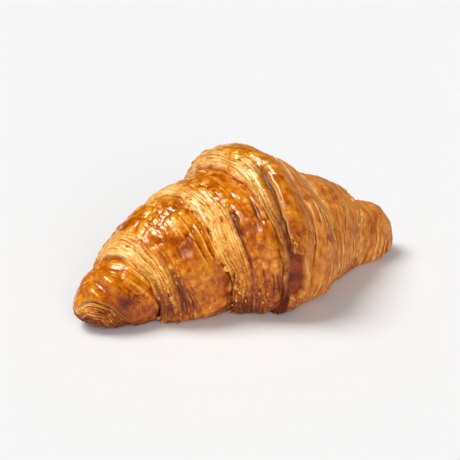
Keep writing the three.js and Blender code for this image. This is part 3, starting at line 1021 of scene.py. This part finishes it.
def make_flakes(roll, points, material):
    """All the loose flakes as one mesh of thin closed scales."""
    draw = np.random.default_rng(FLAKE_SEED)
    count_long, count_wide = FLAKE_POINTS
    size = count_long * count_wide
    vertices = []
    faces = []
    shades = []
    for row, column, length in flake_places(roll, draw):
        if roll.hollow[row, column] > 0 or roll.tear[row, column] > 0.1:
            continue
        start = len(vertices) * size
        for side in flake(roll, points, row, column, length, draw):
            side[..., 2] = np.maximum(side[..., 2], 0)
            vertices.append(side.reshape(-1, 3))
        shades.append(np.full(2 * size, draw.uniform()))
        for i, j in product(range(count_long - 1), range(count_wide - 1)):
            corner = start + i * count_wide + j
            quad = [corner, corner + count_wide, corner + count_wide + 1, corner + 1]
            faces.append(quad)
            faces.append([number + size for number in reversed(quad)])
    piece = add_mesh("flakes", np.vstack(vertices), faces, material)
    add_attribute(piece, "shade", np.concatenate(shades))
    return piece


# Materials

def linear(red, green, blue):
    """A colour from its screen values, 0 to 255."""
    parts = [value / 255 for value in (red, green, blue)]
    return [part / 12.92 if part <= 0.04045 else ((part + 0.055) / 1.055) ** 2.4 for part in parts] + [1]


class Shading:
    """A material's nodes. Most of its calls make one node and give back that node's output."""

    def __init__(self, name):
        self.material = bpy.data.materials.new(name)
        self.material.use_nodes = True
        self.tree = self.material.node_tree
        self.shader = self.tree.nodes["Principled BSDF"]

    def plug(self, socket, value):
        if isinstance(value, bpy.types.NodeSocket):
            self.tree.links.new(value, socket)
        else:
            socket.default_value = value

    def give(self, name, value):
        """Gives the shader's input of that name a value or an output."""
        self.plug(self.shader.inputs[name], value)

    def node(self, kind, output, inputs, **settings):
        """A new node's output, once its settings are made and its inputs plugged in."""
        node = self.tree.nodes.new("ShaderNode" + kind)
        for name, setting in settings.items():
            setattr(node, name, setting)
        for key, value in inputs.items():
            self.plug(node.inputs[key], value)
        return node.outputs[output]

    def attribute(self, name):
        return self.node("Attribute", "Fac", {}, attribute_name=name)

    def place(self):
        """The place on the object, in millimetres."""
        metres = self.node("TexCoord", "Object", {})
        return self.node("VectorMath", 0, {0: metres, "Scale": 1 / MM}, operation="SCALE")

    def times(self, first, second):
        return self.node("Math", 0, {0: first, 1: second}, operation="MULTIPLY")

    def plus(self, first, second):
        return self.node("Math", 0, {0: first, 1: second}, operation="ADD")

    def between(self, value, low, high, start=0.0, end=1.0):
        """A value carried smoothly from start at low to end at high."""
        inputs = {0: value, 1: low, 2: high, 3: start, 4: end}
        return self.node("MapRange", 0, inputs, interpolation_type="SMOOTHSTEP")

    def noise(self, vector, scale, detail=3.0, roughness=0.55):
        """Noise from 0 to 1, most of it between 0.3 and 0.7."""
        inputs = {"Vector": vector, "Scale": scale, "Detail": detail, "Roughness": roughness}
        return self.node("TexNoise", "Fac", inputs)

    def ramp(self, value, stops):
        node = self.tree.nodes.new("ShaderNodeValToRGB")
        elements = node.color_ramp.elements
        while len(elements) < len(stops):
            elements.new(0.5)
        for element, (position, colour) in zip(elements, stops):
            element.position = position
            element.color = linear(*colour)
        self.plug(node.inputs[0], value)
        return node.outputs[0]

    def mix(self, factor, first, second):
        """Two colours mixed. The node repeats its socket names for each type, so it needs numbers."""
        return self.node("Mix", 2, {0: factor, 6: first, 7: second}, data_type="RGBA")

    def lay_over(self, colour, name, strength, over):
        """A colour with another laid over it, where the attribute of that name is high."""
        return self.mix(self.times(self.attribute(name), strength), colour, over)


def fibre_noise(shade):
    """Noise in thin lines that run along the dough's layers."""
    across = shade.times(shade.attribute("depth"), FIBRES_PER_MM)
    along = shade.times(shade.attribute("run"), FIBRE_STRETCH)
    return shade.noise(shade.node("CombineXYZ", 0, {"X": across, "Y": along}), 1.0)


def crust_colour(shade, fine, fibre, mottle):
    """The colours by how pale the crust is, then the creases' red and painted shade, the painted shade in
    the hollow, the torn edges, and the browner underside with painted shade.
    """
    tone = shade.plus(shade.attribute("tone"), shade.between(fine, 0.3, 0.7, -FINE_TONE, FINE_TONE))
    tone = shade.plus(tone, shade.between(mottle, 0.34, 0.68, *MOTTLE_TONES))
    threads = shade.between(shade.plus(fibre, fine), 0.7, 1.3, -FIBRE_TONE, FIBRE_TONE)
    layers = shade.ramp(shade.plus(tone, threads), LAYERED)
    skin = shade.mix(shade.attribute("matte"), shade.ramp(tone, GLAZED), shade.ramp(tone, MATTE))
    colour = shade.mix(shade.attribute("band"), skin, layers)
    colour = shade.lay_over(colour, "red", CREASE_RED_AND_SHADE_STRENGTH, linear(*CREASE_RED_AND_SHADE))
    # Painted shade in the hollow, from dark to brown with the mottle
    inner = shade.mix(shade.between(mottle, 0.36, 0.58), linear(*HOLLOW_SHADE_DARK), linear(*HOLLOW_SHADE_BROWN))
    colour = shade.lay_over(colour, "hollow", HOLLOW_SHADE_STRENGTH, inner)
    colour = shade.lay_over(colour, "torn_edge", TORN_STRENGTH, linear(*TORN_PALE))
    return shade.lay_over(colour, "under", UNDERSIDE_BROWN_AND_SHADE_STRENGTH, linear(*UNDERSIDE_BROWN_AND_SHADE))


def crust_material():
    shade = Shading("baked_crust")
    place = shade.place()
    fine = shade.noise(place, FINE_PER_MM, detail=4, roughness=0.65)
    mottle = shade.noise(place, MOTTLE_PER_MM, detail=6, roughness=0.68)
    fibre = fibre_noise(shade)
    shade.give("Base Color", crust_colour(shade, fine, fibre, mottle))
    gloss = shade.attribute("gloss")
    rough = shade.between(gloss, 0, 1, DRY_ROUGHNESS, GLAZE_ROUGHNESS)
    shade.give("Roughness", shade.plus(rough, shade.between(fine, 0.4, 0.75, 0, FINE_ROUGHNESS)))
    threads = shade.times(fibre, shade.attribute("band"))
    height = shade.plus(shade.times(fine, FINE_BUMP), shade.times(threads, FIBRE_BUMP))
    strength = shade.between(gloss, 0, 1, DRY_BUMP, GLAZE_BUMP)
    bump = {"Height": height, "Distance": BUMP_METRES, "Strength": strength}
    shade.give("Normal", shade.node("Bump", 0, bump))
    return shade.material


def flake_material():
    """Dry pale flakes, some of them browner."""
    shade = Shading("dry_flakes")
    mottle = shade.noise(shade.place(), FLAKE_MOTTLE_PER_MM)
    mottle = shade.between(mottle, 0.3, 0.7, *FLAKE_MOTTLE_TONES)
    tone = shade.plus(shade.times(shade.attribute("shade"), FLAKE_SHADE_TONE), mottle)
    shade.give("Base Color", shade.ramp(tone, LAYERED))
    shade.give("Roughness", FLAKE_ROUGHNESS)
    return shade.material


def floor_material():
    shade = Shading("pale_floor")
    shade.give("Base Color", linear(*FLOOR_GREY))
    shade.give("Roughness", FLOOR_ROUGHNESS)
    shade.give("Specular IOR Level", 0)
    return shade.material


# The studio

def make_floor():
    bpy.ops.mesh.primitive_plane_add(size=FLOOR_SIZE)
    floor = bpy.context.object
    floor.name = "studio_floor"
    floor.data.materials.append(floor_material())


def add_sun(name, stands_at, strength, spread_degrees, colour, mirrored):
    """A broad far lamp. One that is mirrored only makes highlights; the others only light the surfaces."""
    light = bpy.data.lights.new(name, "SUN")
    light.energy = strength
    light.color = colour
    light.angle = math.radians(spread_degrees)
    lamp = link(bpy.data.objects.new(name, light))
    lamp.rotation_euler = Vector(stands_at).to_track_quat("Z", "Y").to_euler()
    lamp.visible_glossy = mirrored
    lamp.visible_diffuse = not mirrored


def make_lights():
    for lamp in LAMPS:
        add_sun(*lamp, PLAIN_WHITE, mirrored=False)
    for window in WINDOWS:
        add_sun(*window, WARM_WHITE, mirrored=True)


def make_room():
    """A plain white room that lights every side and isn't mirrored in the glaze."""
    world = bpy.data.worlds.new("studio")
    bpy.context.scene.world = world
    world.use_nodes = True
    background = world.node_tree.nodes["Background"]
    background.inputs["Color"].default_value = (1, 1, 1, 1)
    background.inputs["Strength"].default_value = ROOM_LIGHT
    world.cycles_visibility.glossy = False


def make_camera():
    camera_data = bpy.data.cameras.new("camera")
    camera_data.lens = CAMERA_LENS
    camera_data.sensor_width = SENSOR_WIDTH
    camera = link(bpy.data.objects.new("camera", camera_data))
    camera.rotation_euler = Euler((math.radians(90 - CAMERA_ELEVATION), 0, math.radians(CAMERA_AZIMUTH)))
    turned = camera.rotation_euler.to_matrix()
    camera.location = CAMERA_AIM + turned @ Vector((AIM_RIGHT, AIM_UP, CAMERA_DISTANCE))
    bpy.context.scene.camera = camera


def centred_over(points, solid_box):
    """The points moved level, so that their box has the same middle as the solid's."""
    solid_middle = np.mean(solid_box, axis=0) / MM
    middle = (points.min(axis=(0, 1)) + points.max(axis=(0, 1))) / 2
    return points + (solid_middle - middle) * [1, 1, 0]


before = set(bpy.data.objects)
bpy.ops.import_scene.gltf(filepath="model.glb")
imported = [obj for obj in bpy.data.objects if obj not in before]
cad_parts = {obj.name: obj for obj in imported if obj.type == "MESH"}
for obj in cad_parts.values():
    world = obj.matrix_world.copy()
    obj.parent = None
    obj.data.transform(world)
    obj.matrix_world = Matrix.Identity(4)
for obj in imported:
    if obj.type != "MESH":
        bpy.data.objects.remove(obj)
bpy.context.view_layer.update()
make_camera()
roll = roll_form()
surface = centred_over(crust_points(roll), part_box("croissant"))
crust = crust_material()
pieces = [make_wrap(wrap, roll, surface, crust) for wrap in WRAPS]
pieces.append(make_flakes(roll, surface, flake_material()))
for piece in pieces:
    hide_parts("croissant")
    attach(piece, "root")
make_floor()
make_lights()
make_room()
bpy.context.scene.view_settings.view_transform = "Standard"
